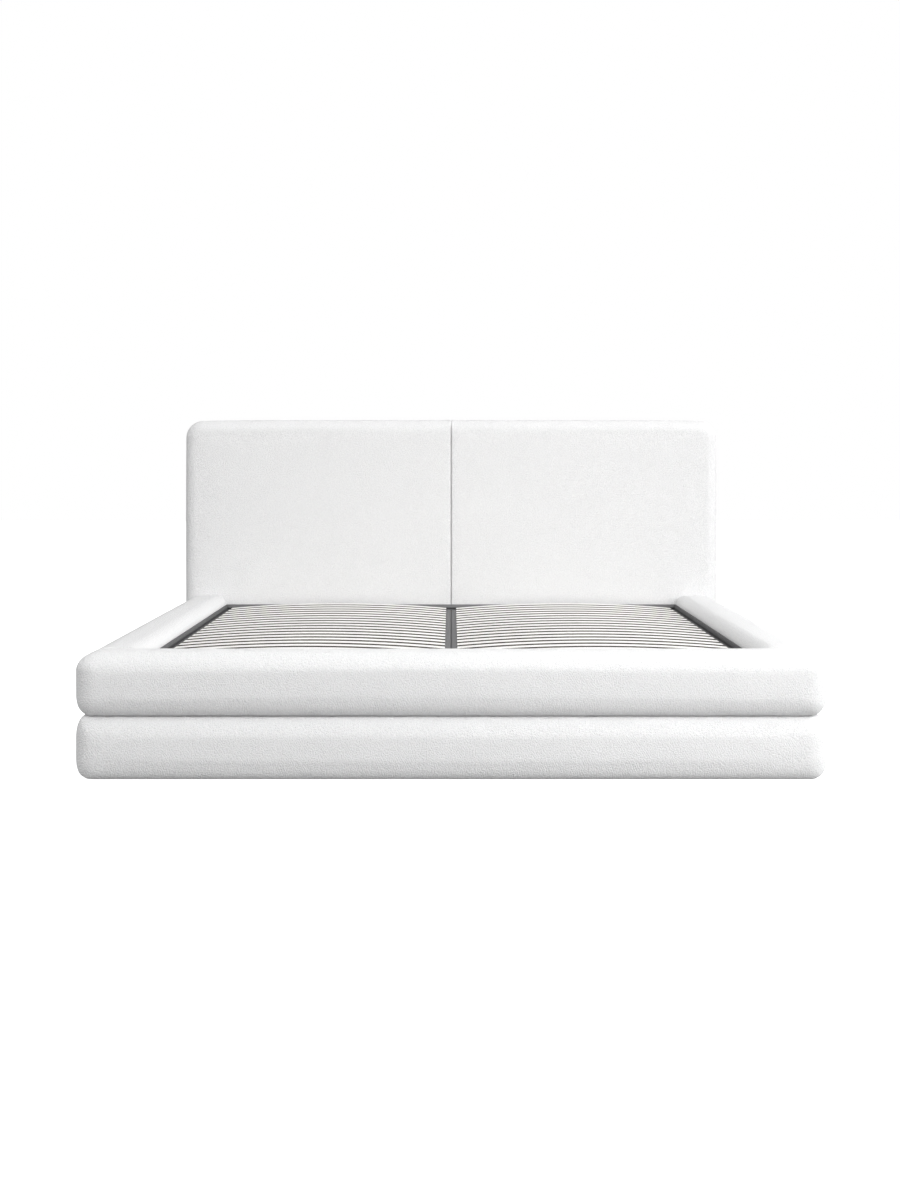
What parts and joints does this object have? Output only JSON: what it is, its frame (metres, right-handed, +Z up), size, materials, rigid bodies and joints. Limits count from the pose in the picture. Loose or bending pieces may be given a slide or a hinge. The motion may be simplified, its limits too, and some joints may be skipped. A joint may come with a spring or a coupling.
{
  "type": "upholstered bed",
  "caption": "Upholstered platform bed with a padded headboard, bolster rails in two tiers, and a loose sprung slat base.",
  "frame": {"origin": "on the floor, under the middle of the bed's outline", "axes": "+Z up, +Y from the foot of the bed to the headboard, +X to the right as seen from the foot"},
  "size_m": [2.17, 2.315, 1.08],
  "materials": {
    "cover_cloth": "white woven cover over foam",
    "back_cloth": "white woven back cloth over a wooden frame",
    "plywood": "birch plywood, sanded",
    "coated_steel": "grey powder coat",
    "birch": "laminated birch with a pale film"
  },
  "bodies": {
    "bedstead": {"upper_bolster_right": "cover_cloth", "upper_bolster_left": "cover_cloth", "upper_bolster_foot": "cover_cloth", "lower_bolster_right": "cover_cloth", "lower_bolster_left": "cover_cloth", "lower_bolster_foot": "cover_cloth", "headboard_pad_right": "cover_cloth", "headboard_pad_left": "cover_cloth", "headboard_frame": "back_cloth", "foot_board": "plywood", "side_board_right": "plywood", "side_board_left": "plywood", "head_crossboard": "plywood"},
    "slat_base": {"frame_rail_right": "coated_steel", "frame_rail_left": "coated_steel", "frame_head_bar": "coated_steel", "frame_foot_bar": "coated_steel", "centre_beam": "coated_steel", "centre_leg_foot": "coated_steel", "centre_leg_head": "coated_steel", "slat_right_01": "birch", "slat_left_01": "birch", "slat_right_02": "birch", "slat_left_02": "birch", "slat_right_03": "birch", "slat_left_03": "birch", "slat_right_04": "birch", "slat_left_04": "birch", "slat_right_05": "birch", "slat_left_05": "birch", "slat_right_06": "birch", "slat_left_06": "birch", "slat_right_07": "birch", "slat_left_07": "birch", "slat_right_08": "birch", "slat_left_08": "birch", "slat_right_09": "birch", "slat_left_09": "birch", "slat_right_10": "birch", "slat_left_10": "birch", "slat_right_11": "birch", "slat_left_11": "birch", "slat_right_12": "birch", "slat_left_12": "birch", "slat_right_13": "birch", "slat_left_13": "birch", "slat_right_14": "birch", "slat_left_14": "birch", "slat_right_15": "birch", "slat_left_15": "birch", "slat_right_16": "birch", "slat_left_16": "birch", "slat_right_17": "birch", "slat_left_17": "birch", "slat_right_18": "birch", "slat_left_18": "birch", "slat_right_19": "birch", "slat_left_19": "birch", "slat_right_20": "birch", "slat_left_20": "birch"}
  },
  "joints": [
    {"name": "slat_base_lift", "type": "slide", "parent": "bedstead", "child": "slat_base", "axis": [0, 0, 1], "range_m": [0, 0.42]}
  ]
}
